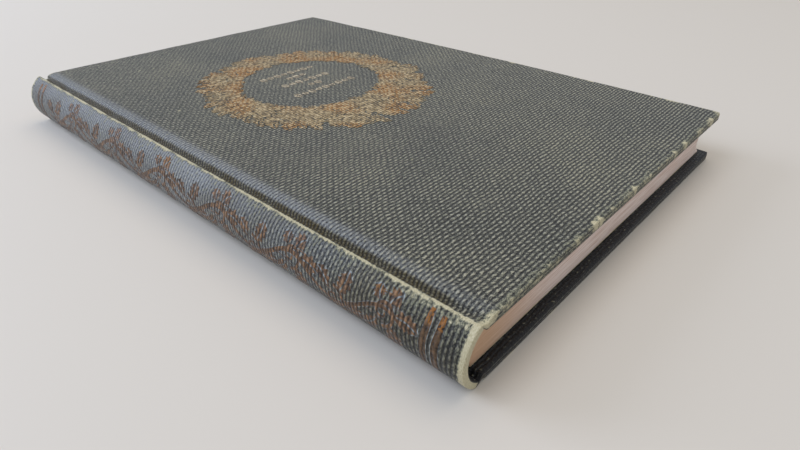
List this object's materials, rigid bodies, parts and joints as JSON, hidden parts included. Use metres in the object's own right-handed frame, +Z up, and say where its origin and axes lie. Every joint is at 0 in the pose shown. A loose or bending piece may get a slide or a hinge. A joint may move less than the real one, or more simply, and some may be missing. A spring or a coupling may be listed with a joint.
{
  "type": "hardback book",
  "caption": "Cloth-bound hardback book with a rounded spine, lying closed on its back cover; both covers open on their joints.",
  "frame": {"origin": "under the middle of the closed book, on the surface it lies on", "axes": "+X from the spine to the fore-edge, +Y from the tail to the head, +Z up through the front cover"},
  "size_m": [0.1318, 0.19, 0.0158],
  "materials": {
    "book_cloth": "coarse plain-weave cloth, grey-black, worn",
    "cover_board": "grey-brown mill board",
    "inlay_card": "plain card",
    "lining_gauze": "glued gauze and paper",
    "pages": "aged cut page edges, matte",
    "endpaper": "aged plain paper, matte"
  },
  "bodies": {
    "text_block": {"text_block": "pages", "spine_lining": "lining_gauze", "spine_inlay": "inlay_card", "spine_cloth": "book_cloth", "front_free_endpaper": "endpaper", "back_free_endpaper": "endpaper"},
    "front_cover": {"front_board": "cover_board", "front_cover_cloth": "book_cloth", "front_pastedown": "endpaper"},
    "back_cover": {"back_board": "cover_board", "back_cover_cloth": "book_cloth", "back_pastedown": "endpaper"}
  },
  "joints": [
    {"name": "front_cover_hinge", "type": "hinge", "parent": "text_block", "child": "front_cover", "pos_m": [-0.0594, 0, 0.01595], "axis": [0, -1, 0], "range_deg": [0, 178]},
    {"name": "back_cover_hinge", "type": "hinge", "parent": "text_block", "child": "back_cover", "pos_m": [-0.0594, 0, -0.00015], "axis": [0, 1, 0], "range_deg": [0, 178]}
  ]
}
